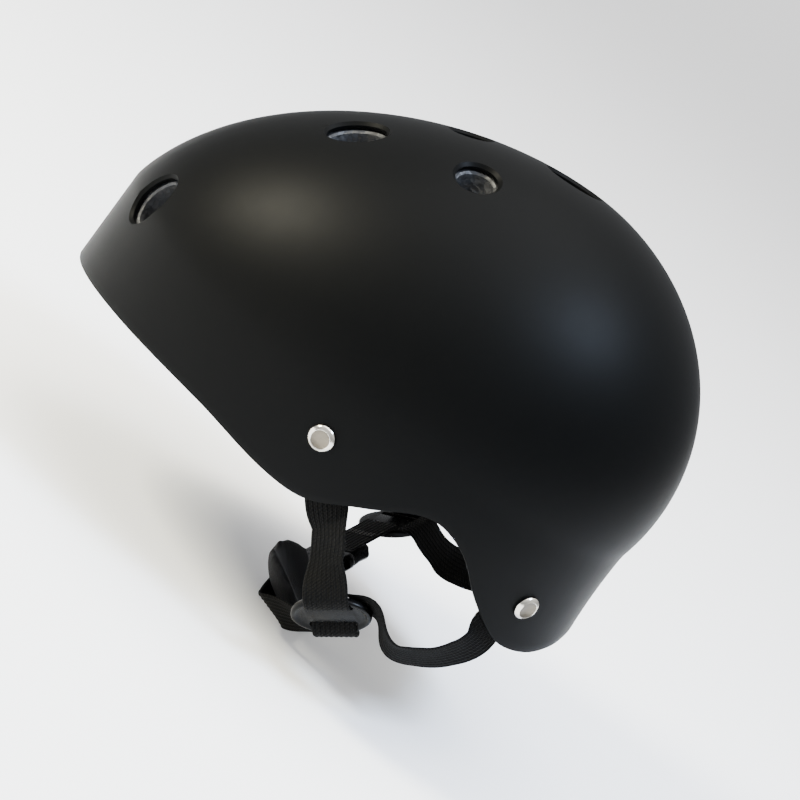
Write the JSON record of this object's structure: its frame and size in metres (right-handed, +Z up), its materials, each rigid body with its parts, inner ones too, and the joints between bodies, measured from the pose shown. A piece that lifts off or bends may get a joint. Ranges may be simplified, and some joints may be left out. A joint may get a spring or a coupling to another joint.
{
  "type": "water sports helmet",
  "caption": "Round-shelled water helmet with oval vents, foam liner, comfort pads and a riveted webbing chin harness that closes with a side-release buckle.",
  "frame": {"origin": "in the symmetry plane at mid-length, level with the bottoms of the temples, where the middle of the wearer's head passes the rim", "axes": "+X towards the wearer's left, -Y towards the brow, +Z up with the helmet level on a head"},
  "size_m": [0.217, 0.2877, 0.2454],
  "materials": {
    "shell_plastic": "satin black, lightly textured",
    "liner_foam": "matte closed-cell foam",
    "pad_fabric": "brushed knit over foam",
    "webbing": "ribbed nylon webbing",
    "black_plastic": "moulded, semi-gloss",
    "nickel": "nickel plated, satin centre"
  },
  "bodies": {
    "helmet": {"outer_shell": "shell_plastic", "foam_liner": "liner_foam", "pad_front": "pad_fabric", "pad_rear": "pad_fabric", "pad_left": "pad_fabric", "pad_right": "pad_fabric", "pad_crown": "pad_fabric", "rivet_front_left": "nickel", "rivet_front_right": "nickel", "rivet_rear_left": "nickel", "rivet_rear_right": "nickel", "washer_front_left": "nickel", "washer_front_right": "nickel", "washer_rear_left": "nickel", "washer_rear_right": "nickel", "strap_front_left": "webbing", "strap_front_right": "webbing", "strap_rear_left": "webbing", "strap_rear_right": "webbing", "chin_strap_left": "webbing", "buckle_female": "black_plastic"},
    "divider_left": {"strap_divider_left": "black_plastic"},
    "divider_right": {"strap_divider_right": "black_plastic"},
    "chin_pad": {"chin_pad": "pad_fabric"},
    "buckle_male": {"buckle_male": "black_plastic", "chin_strap_right": "webbing"},
    "prong_left": {"buckle_prong_left": "black_plastic"},
    "prong_right": {"buckle_prong_right": "black_plastic"}
  },
  "joints": [
    {"name": "divider_left_slide", "type": "slide", "parent": "helmet", "child": "divider_left", "axis": [-0.6917, 0.4616, -0.5554], "range_m": [0, 0.006]},
    {"name": "divider_right_slide", "type": "slide", "parent": "helmet", "child": "divider_right", "axis": [0.8698, -0.2856, -0.4024], "range_m": [0, 0.005]},
    {"name": "chin_pad_slide", "type": "slide", "parent": "helmet", "child": "chin_pad", "axis": [1, 0, 0], "range_m": [0, 0.006]},
    {"name": "buckle_release", "type": "slide", "parent": "helmet", "child": "buckle_male", "axis": [-0.8698, 0.2856, 0.4024], "range_m": [0, 0.014]},
    {"name": "prong_left_squeeze", "type": "hinge", "parent": "buckle_male", "child": "prong_left", "pos_m": [-0.03991, 0.03705, -0.04915], "axis": [-0.1444, 0.6325, -0.761], "range_deg": [0, 8], "stiffness_Nm_per_rad": 0.005},
    {"name": "prong_right_squeeze", "type": "hinge", "parent": "buckle_male", "child": "prong_right", "pos_m": [-0.04802, 0.02466, -0.0579], "axis": [-0.1444, 0.6325, -0.761], "range_deg": [-8, 0], "stiffness_Nm_per_rad": 0.005}
  ],
  "couplings": [
    {"joint": "prong_right_squeeze", "follows": "prong_left_squeeze", "ratio": -1}
  ]
}
